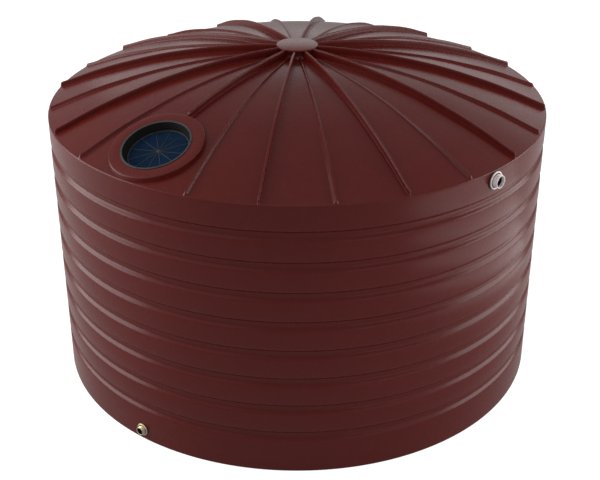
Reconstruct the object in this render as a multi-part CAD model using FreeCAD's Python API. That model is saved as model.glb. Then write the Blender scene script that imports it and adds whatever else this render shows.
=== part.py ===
# Round polyethylene rainwater tank: a ribbed dome roof on a wall with rolled grooves.
# Millimetres. The origin is the middle of the underside, +Z is up, -Y is the front.
import FreeCAD, Part
import math
import os

# Wall
tank_radius = 1750.0
eave_height = 1945.5
wall_skin = 10.0
segment_count = 12
groove_count = 8
top_band_height = 165.0
foot_band_height = 244.0
groove_depth = 20.0
groove_slope_height = 20.0
groove_floor_height = 35.0

# Floor
floor_thickness = 14.0
floor_edge_chamfer = 8.0

# Roof
roof_slope_deg = 19.3
roof_skin = 12.0
roof_cone_run = 434.0
crown_radius = 200.0
dome_ring_count = 4
dome_inner_ring_count = 3
roof_seat_drop = 18.0
sector_count = 12
sector_first_edge = 1.5

# Tall ribs
tall_rib_azimuth = 22.5
tall_rib_hub_drop = 3.0
tall_rib_height = 40.0
tall_rib_rim_height = 25.0
tall_rib_hub_fade = 320.0
tall_rib_draft_deg = 10.0
tall_rib_crest_radius = 8.0
tall_rib_nose_length = 34.0

# Shallow ribs, halfway between the tall ones
shallow_rib_height = 20.0
shallow_rib_rim_height = 12.0
shallow_rib_draft_deg = 18.0
shallow_rib_crest_radius = 7.0
shallow_rib_nose_length = 22.0

# What both kinds of rib share
rib_end_inset = 4.0
rib_root_depth = 7.0
rib_shoulder_drop_share = 0.7
rib_flat_crest_share = 0.45
nose_shares = (0.6, 0.9, 1.0)

# Hub, a flat cap on a round boss
hub_rise = 58.7
hub_cap_radius = 145.0
hub_cap_thickness = 13.0
hub_cap_chamfer = 3.5
hub_boss_radius = 134.0
hub_foot_radius = 150.0
hub_foot_height = 16.0

# Manhole collar, square to the slope of the roof
manhole_azimuth = 232.7
manhole_inset = 310.0
collar_outer_radius = 312.0
collar_opening_radius = 222.0
collar_height = 27.0
collar_edge_chamfer = 7.0
collar_root_depth = 20.0

# Strainer basket that hangs in the collar
basket_top_radius = 221.0
basket_foot_radius = 205.0
basket_depth = 52.0
basket_skin = 2.5
strainer_rim_outer_radius = 232.0
strainer_rim_inner_radius = 219.0
strainer_rim_thickness = 4.0
lower_ring_width = 7.0
lower_ring_thickness = 5.0
mesh_thickness = 2.0
spoke_count = 12
spoke_first_angle = 15.0
spoke_width = 4.0
spoke_thickness = 2.5
spoke_hub_radius = 11.0

# Overflow fitting, high on the wall
overflow_azimuth = 314.7
overflow_drop = 67.0
overflow_flange_radius = 60.0
overflow_flange_thickness = 9.0
overflow_spigot_radius = 43.0
overflow_spigot_length = 31.0
overflow_bore_radius = 37.0
overflow_tail_radius = 41.0
overflow_gasket_radius = 63.0
overflow_gasket_thickness = 6.0
overflow_nut_radius = 58.0
overflow_nut_thickness = 18.0

# Outlet fitting, low on the wall
outlet_azimuth = 232.9
outlet_height = 78.0
outlet_flange_radius = 44.0
outlet_flange_thickness = 8.0
outlet_spigot_radius = 29.8
outlet_spigot_length = 32.0
outlet_bore_radius = 25.0
outlet_tail_radius = 29.8
outlet_gasket_radius = 46.0
outlet_gasket_thickness = 4.0
outlet_nut_radius = 43.0
outlet_nut_thickness = 16.0

# Fits
hole_clearance = 0.3
tail_projection = 6.0
flange_chamfer = 2.5
spigot_chamfer = 1.5

# Worked out from the sizes above
origin = FreeCAD.Vector(0, 0, 0)
up = FreeCAD.Vector(0, 0, 1)
full_turn = 360.0
roof_slope = math.radians(roof_slope_deg)
cone_start_radius = tank_radius - roof_cone_run
dome_radius = (cone_start_radius - crown_radius) / math.sin(roof_slope)
cone_start_height = eave_height + (tank_radius - cone_start_radius) * math.tan(roof_slope)
crown_height = cone_start_height + dome_radius * (1 - math.cos(roof_slope))
dome_centre_height = crown_height - dome_radius
wall_top = eave_height - roof_seat_drop
wall_inner_radius = tank_radius - groove_depth - wall_skin
groove_height = 2 * groove_slope_height + groove_floor_height
groove_top = eave_height - top_band_height
groove_pitch = (groove_top - groove_height - foot_band_height) / (groove_count - 1)
hub_height = crown_height + hub_rise
tall_rib_hub_height = hub_rise - tall_rib_hub_drop
manhole_centre_radius = tank_radius - manhole_inset
overflow_height = eave_height - overflow_drop
segment_angle = full_turn / segment_count
sector_angle = full_turn / sector_count
shallow_rib_azimuth = tall_rib_azimuth - sector_angle / 2


def point(radius, height):
    """A point of a profile that is turned about the tank's axis."""
    return FreeCAD.Vector(radius, 0, height)


def polygon_face(corners):
    return Part.Face(Part.makePolygon(corners + corners[:1]))


def turned(face, start, angle):
    """Sweeps a profile about the tank's axis, from one azimuth over an angle."""
    placed = face.copy()
    placed.rotate(origin, up, start)
    return placed.revolve(origin, up, angle)


def dome_point(depth, angle):
    """A point on the curved part of the dome, at a depth below its outer surface."""
    reach = dome_radius - depth
    radius = crown_radius + reach * math.sin(angle)
    return point(radius, dome_centre_height + reach * math.cos(angle))


def dome_line(depth, ring_count):
    """The straight-sided rings that follow the dome's curve, from the crown outwards."""
    step = roof_slope / ring_count
    return [dome_point(depth, number * step) for number in range(ring_count + 1)]


def outer_dome_line():
    return dome_line(0, dome_ring_count)


def roof_height(radius):
    """Height of the roof's outer surface between the ribs."""
    if radius >= cone_start_radius:
        return eave_height + (tank_radius - radius) * math.tan(roof_slope)
    height = crown_height
    line = outer_dome_line()
    for inner, outer in zip(line, line[1:]):
        if radius > inner.x:
            share = (radius - inner.x) / (outer.x - inner.x)
            height = inner.z + (outer.z - inner.z) * share
    return height


def roof_skin_face():
    """The roof's own section, from the hub to the eave, with a flat seat on the wall."""
    inner_line = dome_line(roof_skin, dome_inner_ring_count)
    inner_shoulder = inner_line[-1]
    run = wall_inner_radius - inner_shoulder.x
    inner_eave = point(wall_inner_radius, inner_shoulder.z - run * math.tan(roof_slope))
    corners = [point(hub_foot_radius, crown_height)] + outer_dome_line()
    corners += [point(tank_radius, eave_height), point(tank_radius, wall_top)]
    corners += [point(wall_inner_radius, wall_top), inner_eave]
    corners += list(reversed(inner_line))
    corners += [point(hub_foot_radius, crown_height - roof_skin)]
    return polygon_face(corners)


def roof_envelope():
    """Everything below the roof's outer surface, for pieces that sit on the roof."""
    reach = tank_radius + collar_outer_radius
    brim = point(reach, eave_height - collar_outer_radius * math.tan(roof_slope))
    foot = point(0, brim.z - eave_height / 2)
    corners = [point(0, crown_height)] + outer_dome_line()
    corners += [brim, point(reach, foot.z), foot]
    return turned(polygon_face(corners), 0, full_turn)


def nose(radius, length):
    """Rounds a rib's end down to the roof, 1 before the nose and 0 at its tip."""
    into = radius - (tank_radius - rib_end_inset - length)
    if into <= 0:
        return 1.0
    return math.sqrt(max(0.0, 1 - (into / length) ** 2))


def rim_share(radius):
    """How far along its taper towards the eave a rib is, from 0 to 1."""
    return max(0.0, (radius - cone_start_radius) / roof_cone_run)


def tall_height(radius):
    hub_share = math.exp(-((radius - hub_boss_radius) / tall_rib_hub_fade) ** 2)
    height = tall_rib_height + (tall_rib_hub_height - tall_rib_height) * hub_share
    height -= (tall_rib_height - tall_rib_rim_height) * rim_share(radius)
    return height * nose(radius, tall_rib_nose_length)


def shallow_height(radius):
    height = shallow_rib_height
    height -= (shallow_rib_height - shallow_rib_rim_height) * rim_share(radius)
    return height * nose(radius, shallow_rib_nose_length)


def rib_section(radius, height, draft_deg, crest_radius):
    """A rib's cross-section: two flanks that lean by the mould's draft, and a bevelled crest."""
    rise = max(height, 1.0)
    crest = min(crest_radius, rise * 0.6)
    root = roof_height(radius) - rib_root_depth
    top = roof_height(radius) + rise
    shoulder = top - crest * rib_shoulder_drop_share
    foot = crest + (shoulder - root) * math.tan(math.radians(draft_deg))
    half = [(foot, root), (crest, shoulder), (crest * rib_flat_crest_share, top)]
    left = [FreeCAD.Vector(radius, -out, height_there) for out, height_there in half]
    right = [FreeCAD.Vector(radius, out, height_there) for out, height_there in reversed(half)]
    return Part.makePolygon(left + right + left[:1])


def rib(height_at, nose_length, draft_deg, crest_radius, azimuth):
    """A rib lofted through sections from under the hub to its rounded nose."""
    nose_start = tank_radius - rib_end_inset - nose_length
    rings = [corner.x for corner in outer_dome_line()]
    stations = [hub_boss_radius - rib_root_depth, rings[0], (rings[0] + rings[1]) / 2]
    stations += rings[1:] + [nose_start]
    stations += [nose_start + nose_length * share for share in nose_shares]
    sections = [rib_section(r, height_at(r), draft_deg, crest_radius) for r in stations]
    solid = Part.makeLoft(sections, True, True)
    solid.rotate(origin, up, azimuth)
    return solid


def floor():
    edge = tank_radius - floor_edge_chamfer
    corners = [point(0, 0), point(edge, 0), point(tank_radius, floor_edge_chamfer)]
    corners += [point(tank_radius, floor_thickness), point(0, floor_thickness)]
    return turned(polygon_face(corners), 0, full_turn)


def wall_profile():
    """The wall's section: plain bands with grooves between them, and a plain inside."""
    corners = [point(wall_inner_radius, wall_top), point(tank_radius, wall_top)]
    for number in range(groove_count):
        top = groove_top - number * groove_pitch
        groove_radius = tank_radius - groove_depth
        corners.append(point(tank_radius, top))
        corners.append(point(groove_radius, top - groove_slope_height))
        corners.append(point(groove_radius, top - groove_slope_height - groove_floor_height))
        corners.append(point(tank_radius, top - groove_height))
    corners += [point(tank_radius, floor_thickness), point(wall_inner_radius, floor_thickness)]
    return polygon_face(corners)


def hub():
    """The cap on its boss, closed below so that it carries the middle of the roof."""
    cap_foot = hub_height - hub_cap_thickness
    underside = crown_height - roof_skin
    corners = [point(0, underside), point(hub_foot_radius, underside)]
    corners += [point(hub_foot_radius, crown_height)]
    corners += [point(hub_boss_radius, crown_height + hub_foot_height)]
    corners += [point(hub_boss_radius, cap_foot), point(hub_cap_radius, cap_foot)]
    corners += [point(hub_cap_radius, hub_height - hub_cap_chamfer)]
    corners += [point(hub_cap_radius - hub_cap_chamfer, hub_height), point(0, hub_height)]
    return turned(polygon_face(corners), 0, full_turn)


def manhole_placement():
    """Puts +Z square to the roof and +X straight down its slope, at the manhole."""
    azimuth = math.radians(manhole_azimuth)
    height = roof_height(manhole_centre_radius)
    place = FreeCAD.Vector(
        manhole_centre_radius * math.cos(azimuth),
        manhole_centre_radius * math.sin(azimuth),
        height,
    )
    lean = FreeCAD.Rotation(FreeCAD.Vector(0, 1, 0), roof_slope_deg)
    turn = FreeCAD.Rotation(up, manhole_azimuth)
    return FreeCAD.Placement(place, turn.multiply(lean))


def at_manhole(shape):
    placed = shape.copy()
    placed.Placement = manhole_placement()
    return placed


def ring(inner, outer, bottom, top):
    """A flat ring about +Z."""
    corners = [point(inner, bottom), point(outer, bottom), point(outer, top), point(inner, top)]
    return turned(polygon_face(corners), 0, full_turn)


def collar():
    """The raised ring, cut below to the form of the roof that it stands on."""
    shoulder = collar_height - collar_edge_chamfer
    corners = [point(collar_opening_radius, -collar_root_depth)]
    corners += [point(collar_outer_radius, -collar_root_depth)]
    corners += [point(collar_outer_radius, shoulder)]
    corners += [point(collar_outer_radius - collar_edge_chamfer, collar_height)]
    corners += [point(collar_opening_radius, collar_height)]
    return at_manhole(turned(polygon_face(corners), 0, full_turn)).cut(roof_envelope())


def strainer_rim():
    top = collar_height + strainer_rim_thickness
    return at_manhole(ring(strainer_rim_inner_radius, strainer_rim_outer_radius, collar_height, top))


def basket_foot_level():
    return collar_height - basket_depth


def strainer_basket():
    """The leaning wall of the basket."""
    foot = basket_foot_level()
    corners = [point(basket_top_radius, collar_height), point(basket_foot_radius, foot)]
    corners += [point(basket_foot_radius - basket_skin, foot)]
    corners += [point(basket_top_radius - basket_skin, collar_height)]
    return at_manhole(turned(polygon_face(corners), 0, full_turn))


def strainer_mesh():
    foot = basket_foot_level()
    disc = Part.makeCylinder(basket_foot_radius, mesh_thickness, point(0, foot - mesh_thickness), up)
    return at_manhole(disc)


def strainer_lower_ring():
    foot = basket_foot_level()
    outer = basket_foot_radius - basket_skin
    return at_manhole(ring(outer - lower_ring_width, outer, foot, foot + lower_ring_thickness))


def strainer_spokes():
    """A small hub with straight spokes that carry the mesh."""
    foot = basket_foot_level()
    reach = basket_foot_radius - basket_skin - lower_ring_width
    solid = Part.makeCylinder(spoke_hub_radius, spoke_thickness, point(0, foot), up)
    for number in range(spoke_count):
        bar = Part.makeBox(reach, spoke_width, spoke_thickness, FreeCAD.Vector(0, -spoke_width / 2, foot))
        bar.rotate(origin, up, spoke_first_angle + number * full_turn / spoke_count)
        solid = solid.fuse(bar)
    return at_manhole(solid.removeSplitter())


def radial_placement(azimuth, height):
    """Puts +X straight out of the wall at an azimuth and a height."""
    return FreeCAD.Placement(FreeCAD.Vector(0, 0, height), FreeCAD.Rotation(up, azimuth))


def radial_cylinder(radius, start, end):
    return Part.makeCylinder(radius, end - start, FreeCAD.Vector(start, 0, 0), FreeCAD.Vector(1, 0, 0))


def placed_at(shape, azimuth, height):
    placed = shape.copy()
    placed.Placement = radial_placement(azimuth, height)
    return placed


def tall_cylinder(radius):
    return Part.makeCylinder(radius, 2 * eave_height, FreeCAD.Vector(0, 0, -eave_height / 2), up)


def gasket(radius, tail_radius, thickness, azimuth, height):
    """A rubber washer that follows the wall on one side and is flat on the other."""
    outer = tank_radius + thickness
    washer = radial_cylinder(radius, tank_radius - thickness, outer)
    washer = washer.cut(radial_cylinder(tail_radius + hole_clearance, 0, outer + 1))
    return placed_at(washer, azimuth, height).cut(tall_cylinder(tank_radius))


def nut(radius, tail_radius, thickness, azimuth, height):
    """The ring nut inside the tank, seated on the wall's inner face."""
    inner = wall_inner_radius - thickness
    body = radial_cylinder(radius, inner, wall_inner_radius + thickness)
    body = body.cut(radial_cylinder(tail_radius + hole_clearance, 0, tank_radius))
    return placed_at(body, azimuth, height).common(tall_cylinder(wall_inner_radius))


def fitting(flange_radius, flange_thickness, spigot_radius, spigot_length, bore_radius,
            tail_radius, gasket_thickness, nut_thickness, azimuth, height):
    """A flanged tube: spigot outside, tail through the wall to just past the nut."""
    seat = tank_radius + gasket_thickness
    face = seat + flange_thickness
    mouth = face + spigot_length
    tail_end = wall_inner_radius - nut_thickness - tail_projection
    profile = [(bore_radius, tail_end), (tail_radius, tail_end), (tail_radius, seat)]
    profile += [(flange_radius, seat), (flange_radius, face - flange_chamfer)]
    profile += [(flange_radius - flange_chamfer, face), (spigot_radius, face)]
    profile += [(spigot_radius, mouth - spigot_chamfer)]
    profile += [(spigot_radius - spigot_chamfer, mouth), (bore_radius, mouth)]
    corners = [FreeCAD.Vector(along, 0, radius) for radius, along in profile]
    body = polygon_face(corners).revolve(origin, FreeCAD.Vector(1, 0, 0), full_turn)
    return placed_at(body, azimuth, height)


def wall_holes():
    """The round holes in the wall that the two fittings pass through."""
    reach = tank_radius + groove_depth
    overflow = radial_cylinder(overflow_tail_radius + hole_clearance, 0, reach)
    outlet = radial_cylinder(outlet_tail_radius + hole_clearance, 0, reach)
    holes = [placed_at(overflow, overflow_azimuth, overflow_height)]
    holes += [placed_at(outlet, outlet_azimuth, outlet_height)]
    return holes


def roof_sector(number, hub_shape, collar_hole, opening_hole):
    """One slice of the dome with its shallow and its tall rib."""
    start = number * sector_angle
    skin = turned(roof_skin_face(), start + sector_first_edge, sector_angle)
    tall = rib(tall_height, tall_rib_nose_length, tall_rib_draft_deg,
               tall_rib_crest_radius, start + tall_rib_azimuth)
    shallow = rib(shallow_height, shallow_rib_nose_length, shallow_rib_draft_deg,
                  shallow_rib_crest_radius, start + shallow_rib_azimuth)
    ribs = [piece.cut(hub_shape) for piece in (tall, shallow)]
    ribs = [piece.cut(collar_hole) if piece.distToShape(collar_hole)[0] == 0 else piece
            for piece in ribs]
    sector = skin.fuse(ribs)
    if sector.distToShape(opening_hole)[0] == 0:
        sector = sector.cut(opening_hole)
    return sector


def largest(shape):
    return max(shape.Solids, key=lambda solid: solid.Volume)


def export(shape, name):
    shape.exportStep(os.path.join("parts", name + ".step"))


def build():
    os.makedirs("parts", exist_ok=True)
    export(floor(), "base_floor")
    holes = wall_holes()
    for number in range(segment_count):
        segment = turned(wall_profile(), number * segment_angle, segment_angle)
        export(segment.cut(holes), "wall_segment_%02d" % (number + 1))
    hub_shape = hub()
    export(hub_shape, "roof_hub")
    depth = collar_outer_radius
    collar_hole = at_manhole(Part.makeCylinder(collar_outer_radius, 2 * depth, point(0, -depth), up))
    opening_hole = at_manhole(Part.makeCylinder(collar_opening_radius, 2 * depth, point(0, -depth), up))
    for number in range(sector_count):
        sector = roof_sector(number, hub_shape, collar_hole, opening_hole)
        export(largest(sector), "roof_sector_%02d" % (number + 1))
    export(collar(), "manhole_collar")
    export(strainer_rim(), "strainer_rim")
    export(strainer_basket(), "strainer_basket")
    export(strainer_lower_ring(), "strainer_lower_ring")
    export(strainer_mesh(), "strainer_mesh")
    export(strainer_spokes(), "strainer_spokes")
    export_fittings()


def export_fittings():
    """The two wall fittings, then their washers and their nuts as two pairs."""
    export(fitting(overflow_flange_radius, overflow_flange_thickness, overflow_spigot_radius,
                   overflow_spigot_length, overflow_bore_radius, overflow_tail_radius,
                   overflow_gasket_thickness, overflow_nut_thickness,
                   overflow_azimuth, overflow_height), "overflow_fitting")
    export(fitting(outlet_flange_radius, outlet_flange_thickness, outlet_spigot_radius,
                   outlet_spigot_length, outlet_bore_radius, outlet_tail_radius,
                   outlet_gasket_thickness, outlet_nut_thickness,
                   outlet_azimuth, outlet_height), "outlet_fitting")
    gaskets = [gasket(overflow_gasket_radius, overflow_tail_radius, overflow_gasket_thickness,
                      overflow_azimuth, overflow_height)]
    gaskets += [gasket(outlet_gasket_radius, outlet_tail_radius, outlet_gasket_thickness,
                       outlet_azimuth, outlet_height)]
    export(Part.makeCompound(gaskets), "fitting_gaskets")
    nuts = [nut(overflow_nut_radius, overflow_tail_radius, overflow_nut_thickness,
                overflow_azimuth, overflow_height)]
    nuts += [nut(outlet_nut_radius, outlet_tail_radius, outlet_nut_thickness,
                 outlet_azimuth, outlet_height)]
    export(Part.makeCompound(nuts), "fitting_nuts")


build()
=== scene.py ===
"""Round polyethylene rainwater tank, modelled and dressed over its CAD frame.

Metres, +Z up, -Y to the front, the origin in the middle of the underside.
"""

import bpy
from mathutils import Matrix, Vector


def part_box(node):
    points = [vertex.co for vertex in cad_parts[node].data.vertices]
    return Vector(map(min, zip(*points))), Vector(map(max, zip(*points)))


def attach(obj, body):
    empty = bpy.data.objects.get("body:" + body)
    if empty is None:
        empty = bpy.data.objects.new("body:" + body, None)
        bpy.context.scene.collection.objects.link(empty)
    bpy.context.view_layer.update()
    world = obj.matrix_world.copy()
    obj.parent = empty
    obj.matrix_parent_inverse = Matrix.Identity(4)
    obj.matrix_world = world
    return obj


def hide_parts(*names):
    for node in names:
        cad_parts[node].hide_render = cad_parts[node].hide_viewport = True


bl_info = {
    "name": "Rainwater Tank",
    "version": (1, 0, 0),
    "blender": (4, 5, 0),
    "location": "View3D > Sidebar > Tank",
    "description": "Models and dresses a round rainwater tank over its CAD frame",
    "category": "Object",
}

import math

import bmesh
import bpy
from mathutils import Matrix, Vector

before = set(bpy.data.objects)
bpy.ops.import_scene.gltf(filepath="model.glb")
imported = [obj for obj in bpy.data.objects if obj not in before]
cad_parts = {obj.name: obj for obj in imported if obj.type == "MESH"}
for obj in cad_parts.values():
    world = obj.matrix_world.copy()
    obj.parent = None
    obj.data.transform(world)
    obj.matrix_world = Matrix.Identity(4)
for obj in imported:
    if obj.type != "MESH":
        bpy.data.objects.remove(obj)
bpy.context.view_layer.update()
floor_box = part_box("base_floor")
hub_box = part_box("roof_hub")
wall_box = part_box("wall_segment_01")
FULL_TURN = math.tau
EAVE_ABOVE_WALL = 0.018
HOLE_CLEARANCE = 0.0003
WALL_STEPS = 288
RING_STEPS = 128


def length(name, value, description):
    return bpy.props.FloatProperty(
        name=name, description=description, default=value, min=0.0, precision=4,
        unit="LENGTH", subtype="DISTANCE")


def turn_angle(name, degrees, description):
    return bpy.props.FloatProperty(
        name=name, description=description, default=math.radians(degrees),
        unit="ROTATION", subtype="ANGLE")


def count(name, value, description):
    return bpy.props.IntProperty(name=name, description=description, default=value, min=1)


def colour(name, value, description):
    return bpy.props.FloatVectorProperty(
        name=name, description=description, default=value, size=3, min=0.0, max=1.0,
        subtype="COLOR")


class TankSizes(bpy.types.PropertyGroup):
    """Sizes of the moulded tank."""

    radius: length("Tank radius", round(floor_box[1][0], 4), "Outside radius of the wall")
    floor: length("Floor", round(floor_box[1][2], 4), "Thickness of the floor")
    wall_top: length("Wall top", round(wall_box[1][2], 4), "Height of the wall's upper end")
    eave: length("Eave height", round(wall_box[1][2], 4) + EAVE_ABOVE_WALL, "Height of the eave")
    inner: length("Inner radius", 1.72, "Radius of the wall's inside")
    eave_round: length("Eave rounding", 0.009, "Radius of the rounded eave")
    groove_count: count("Grooves", 8, "Grooves round the wall")
    top_band: length("Top band", 0.165, "Plain wall above the top groove")
    foot_band: length("Foot band", 0.244, "Plain wall below the lowest groove")
    groove_depth: length("Groove depth", 0.02, "How deep the grooves are")
    groove_slope: length("Groove slope", 0.02, "Height of a groove's sloping sides")
    groove_floor: length("Groove floor", 0.035, "Height of a groove's flat bottom")
    groove_round: length("Groove rounding", 0.007, "Softness of a groove's edges")
    roof_slope: turn_angle("Roof slope", 19.3, "Slope of the roof's straight outer part")
    roof_skin: length("Roof skin", 0.012, "Thickness of the roof")
    cone_run: length("Straight run", 0.434, "Width of the roof's straight outer part")
    crown_radius: length("Crown radius", 0.200, "Radius of the level middle of the roof")
    swell: length("Shoulder swell", 0.0082, "How far the roof swells up inside the eave")
    swell_run: length("Swell width", 0.60, "Width of the swell, from the eave inwards")
    sink: length("Dome sink", 0.003, "How far the dome sits lower inside the swell")
    rib_count: count("Tall ribs", 12, "Tall ribs, with as many shallow ones between them")
    rib_azimuth: turn_angle("First tall rib", 22.5, "Azimuth of the first tall rib")
    tall_height: length("Tall rib", 0.040, "Height of a tall rib halfway down the roof")
    tall_hub_height: length("Tall rib at hub", 0.0557, "Height of a tall rib at the hub")
    tall_rim_height: length("Tall rib at eave", 0.034, "Height of a tall rib at the eave")
    tall_fade: length("Tall rib fade", 0.320, "How soon a tall rib drops away from the hub")
    tall_draft: turn_angle("Tall rib draft", 5.0, "Lean of a tall rib's flanks")
    tall_crest: length("Tall rib crest", 0.008, "Radius of a tall rib's crest")
    tall_nose: length("Tall rib nose", 0.017, "Length of a tall rib's rounded end")
    low_height: length("Shallow rib", 0.021, "Height of a shallow rib near the eave")
    low_hub_height: length("Shallow rib at hub", 0.012, "Height of a shallow rib near the hub")
    low_draft: turn_angle("Shallow rib draft", 27.0, "Lean of a shallow rib's flanks")
    low_crest: length("Shallow rib crest", 0.007, "Radius of a shallow rib's crest")
    low_nose: length("Shallow rib nose", 0.015, "Length of a shallow rib's rounded end")
    rib_end: length("Rib end", 0.005, "Distance of a rib's end from the eave")
    rib_blend: length("Rib fillet", 0.008, "Softness of the fillet at a rib's foot")
    hub_top: length("Hub top", round(hub_box[1][2] - 0.0001, 4), "Height of the hub's cap")
    hub_radius: length("Hub radius", 0.145, "Radius of the hub's cap")
    hub_cap: length("Hub cap", 0.013, "Thickness of the hub's cap")
    boss_radius: length("Boss radius", 0.134, "Radius of the boss below the cap")


class InletSizes(bpy.types.PropertyGroup):
    """Sizes of the manhole collar and its strainer."""

    azimuth: turn_angle("Azimuth", 232.7, "Azimuth of the manhole")
    reach: length("Reach", 1.440, "Distance of the manhole from the tank's axis")
    collar_radius: length("Collar radius", 0.312, "Outside radius of the collar")
    opening: length("Opening radius", 0.222, "Radius of the collar's opening")
    collar_height: length("Collar height", 0.027, "Height of the collar over the roof")
    rim_outer: length("Rim outside", 0.232, "Outside radius of the strainer's rim")
    rim_inner: length("Rim inside", 0.219, "Inside radius of the strainer's rim")
    rim_height: length("Rim thickness", 0.004, "Thickness of the strainer's rim")
    basket_top: length("Basket top", 0.221, "Radius of the basket at its top")
    basket_foot: length("Basket foot", 0.205, "Radius of the basket at its foot")
    basket_depth: length("Basket depth", 0.056, "Depth of the basket")
    basket_skin: length("Basket skin", 0.0025, "Thickness of the basket's wall")
    spoke_count: count("Spokes", 12, "Spokes that carry the mesh")
    spoke_width: length("Spoke width", 0.004, "Width of a spoke")
    spoke_start: turn_angle("First spoke", 15.0, "Angle of the first spoke from downhill")


class FittingSizes(bpy.types.PropertyGroup):
    """Sizes of one threaded wall fitting."""

    azimuth: turn_angle("Azimuth", 314.7, "Azimuth of the fitting")
    height: length("Height", 1.8785, "Height of the fitting's axis")
    flange: length("Flange radius", 0.06, "Radius of the flange")
    flange_thick: length("Flange thickness", 0.009, "Thickness of the flange")
    spigot: length("Spigot radius", 0.043, "Radius over the thread")
    spigot_long: length("Spigot length", 0.031, "Length of the spigot")
    bore: length("Bore radius", 0.037, "Radius of the bore")
    tail: length("Tail radius", 0.041, "Radius of the tail in the wall")
    gasket: length("Gasket radius", 0.063, "Radius of the rubber washer")
    gasket_thick: length("Gasket thickness", 0.006, "Thickness of the rubber washer")
    nut_thick: length("Nut thickness", 0.018, "Thickness of the nut inside the wall")
    # Past this depth the bore is painted black, as painted shade.
    lit_depth: length("Pale depth", 0.022, "How far the bore keeps the outside's pale finish")


class TankFinish(bpy.types.PropertyGroup):
    """Colours of the tank's materials."""

    plastic: colour("Plastic", (0.092, 0.0078, 0.0055), "Moulded polyethylene")
    plastic_pale: colour("Plastic bloom", (0.106, 0.0145, 0.011), "Paler bloom on the plastic")
    # Painted highlight: the rims' grey top is painted as if lit; the colour also covers the whole
    # lower ring, mottled by wear.
    ring: colour("Strainer ring", (0.038, 0.040, 0.037), "Worn top of the strainer's rings")
    basket: colour("Basket", (0.004, 0.004, 0.0045), "Basket wall")
    basket_hole: colour("Basket holes", (0.032, 0.033, 0.035), "Light that shows in the holes")
    mesh: colour("Mesh", (0.006, 0.019, 0.046), "Woven mesh")
    spoke: colour("Spokes", (0.022, 0.020, 0.019), "Spokes")
    rubber: colour("Rubber", (0.010, 0.010, 0.010), "Washers")
    # The overflow's pink tint is a painted reflection of the red wall on pale plastic.
    fitting: colour("Overflow", (0.86, 0.76, 0.75), "Overflow fitting")
    # Painted light and shade on the outlet: the bright colour goes on faces turned up, the shaded one
    # elsewhere, tinted by the red wall's painted reflection.
    brass: colour("Outlet", (0.88, 0.79, 0.40), "Outlet fitting's bright faces")
    brass_shaded: colour("Outlet, dull", (0.52, 0.41, 0.39), "Outlet fitting's dulled faces")


def sizes():
    return bpy.context.scene.tank_sizes


def inlet():
    return bpy.context.scene.tank_inlet


def finishes():
    return bpy.context.scene.tank_finish


# Modelling helpers


def outline(bm, corners, segments=3):
    """A closed outline in the XZ plane; a corner's third number is how far it is rounded."""
    verts = [bm.verts.new((corner[0], 0, corner[1])) for corner in corners]
    bm.faces.new(verts)
    groups = {}
    for vert, corner in zip(verts, corners):
        if len(corner) > 2:
            groups.setdefault(corner[2], []).append(vert)
    for reach, members in sorted(groups.items()):
        bmesh.ops.bevel(bm, geom=members, offset=reach, offset_type="OFFSET",
                        segments=segments, profile=0.5, material=-1, affect="VERTICES",
                        clamp_overlap=False)
    bmesh.ops.delete(bm, geom=list(bm.faces), context="FACES_ONLY")


def turn(bm, steps):
    """Spins the outline round +Z and closes its seam and its poles."""
    on_axis = [e for e in bm.edges if all(abs(v.co.x) < 1e-7 for v in e.verts)]
    bmesh.ops.delete(bm, geom=on_axis, context="EDGES")
    bmesh.ops.spin(bm, geom=bm.verts[:] + bm.edges[:], cent=(0, 0, 0), axis=(0, 0, 1),
                   dvec=(0, 0, 0), angle=FULL_TURN, steps=steps, use_merge=True,
                   use_duplicate=False)
    tidy(bm)


def tidy(bm):
    """Merges doubled points and turns every face outwards."""
    bmesh.ops.remove_doubles(bm, verts=bm.verts[:], dist=1e-6)
    bmesh.ops.recalc_face_normals(bm, faces=bm.faces[:])


def turned(corners, steps, segments=3):
    bm = bmesh.new()
    outline(bm, corners, segments)
    turn(bm, steps)
    return bm


def place(bm, matrix):
    bmesh.ops.transform(bm, matrix=matrix, verts=bm.verts[:])


def repeat(bm, copies):
    """Repeats what is there evenly round +Z."""
    bmesh.ops.spin(bm, geom=bm.verts[:] + bm.edges[:] + bm.faces[:], cent=(0, 0, 0),
                   axis=(0, 0, 1), dvec=(0, 0, 0), angle=FULL_TURN * (copies - 1) / copies,
                   steps=copies - 1, use_merge=False, use_duplicate=True)


def as_object(bm, name, sharp_degrees=35.0):
    """Makes the piece's object, smooth but for edges sharper than the given angle."""
    mesh = bpy.data.meshes.new(name)
    bm.to_mesh(mesh)
    bm.free()
    mesh.polygons.foreach_set("use_smooth", [True] * len(mesh.polygons))
    mesh.set_sharp_from_angle(angle=math.radians(sharp_degrees))
    obj = bpy.data.objects.new(name, mesh)
    bpy.context.scene.collection.objects.link(obj)
    return obj


def keep(obj, materials, slot, *nodes):
    """Gives a piece its materials, hangs it under the root and hides the frame parts it stands for.
    """
    for material in materials if isinstance(materials, tuple) else (materials,):
        obj.data.materials.append(material)
    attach(obj, "root")
    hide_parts(*nodes)


def keep_plastic(obj, *nodes):
    shared = material_once("moulded_polyethylene", moulded_plastic)
    keep(obj, shared, "tank_plastic", *nodes)


def cut(obj, cutters):
    """Takes the cutters' space out of a piece and drops the cutters."""
    for cutter in cutters:
        modifier = obj.modifiers.new("hole", "BOOLEAN")
        modifier.operation = "DIFFERENCE"
        modifier.solver = "EXACT"
        modifier.object = cutter
    bpy.context.view_layer.update()
    evaluated = obj.evaluated_get(bpy.context.evaluated_depsgraph_get())
    mesh = bpy.data.meshes.new_from_object(evaluated)
    obj.modifiers.clear()
    old = obj.data
    obj.data = mesh
    bpy.data.meshes.remove(old)
    mesh.name = obj.name
    for cutter in cutters:
        bpy.data.objects.remove(cutter)


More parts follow.
